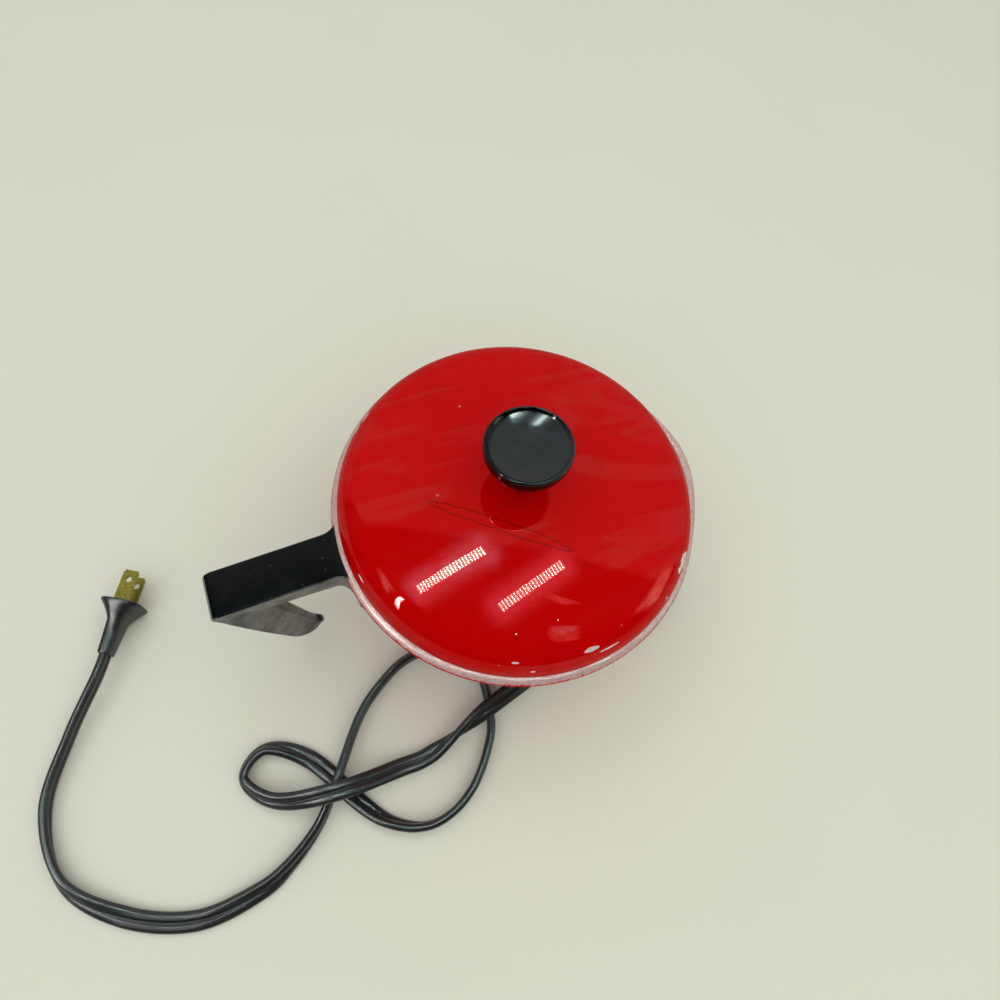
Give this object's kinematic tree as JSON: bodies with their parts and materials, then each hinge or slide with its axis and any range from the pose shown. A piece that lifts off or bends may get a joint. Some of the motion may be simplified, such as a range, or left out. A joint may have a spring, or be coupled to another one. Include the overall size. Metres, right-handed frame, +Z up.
{
  "type": "electric hot pot",
  "caption": "Small countertop electric pot: tapered enamelled vessel on a heated base, with a loose domed lid, a side handle and a two-core cord with a plug.",
  "frame": {"origin": "on the vessel's axis, at the level of the table that the base stands on", "axes": "+Z up, -X along the handle, +X towards the pour lip and the cord outlet"},
  "size_m": [0.364, 0.212, 0.1604],
  "materials": {
    "red_enamel": "gloss enamel on aluminium",
    "bare_aluminium": "bare, worn",
    "black_phenolic": "semi-gloss moulding",
    "plated_steel": "zinc plated",
    "sheath_steel": "heat darkened",
    "seal_rubber": "silicone",
    "ceramic": "unglazed ceramic",
    "wire_black": "sleeved wire",
    "wire_red": "sleeved wire",
    "cord_rubber": "satin",
    "blade_brass": "drawn"
  },
  "bodies": {
    "pot": {"pot_shell": "red_enamel", "handle": "black_phenolic", "handle_bracket": "plated_steel", "bracket_rivets": "bare_aluminium", "handle_screw": "plated_steel", "handle_washer": "plated_steel", "base_housing": "black_phenolic", "base_seal": "seal_rubber", "bottom_cover": "plated_steel", "cover_nut": "plated_steel", "centre_stud": "plated_steel", "clamp_nut": "plated_steel", "element_clamp": "plated_steel", "heat_spreader": "bare_aluminium", "heating_element": "sheath_steel", "element_bushes": "ceramic", "thermostat": "ceramic", "thermostat_clip": "plated_steel", "thermal_fuse": "bare_aluminium", "live_wire": "wire_black", "fuse_wire": "wire_red", "switched_wire": "wire_red", "neutral_wire": "wire_black", "crimp_terminals": "blade_brass", "strain_relief": "cord_rubber", "cord": "cord_rubber", "plug_body": "cord_rubber", "plug_blades": "blade_brass"},
    "lid": {"lid_shell": "red_enamel", "knob": "black_phenolic", "knob_screw": "plated_steel", "knob_washer": "plated_steel"}
  },
  "joints": [
    {"name": "lid_lift", "type": "slide", "parent": "pot", "child": "lid", "axis": [0, 0, 1], "range_m": [0, 0.12]}
  ]
}
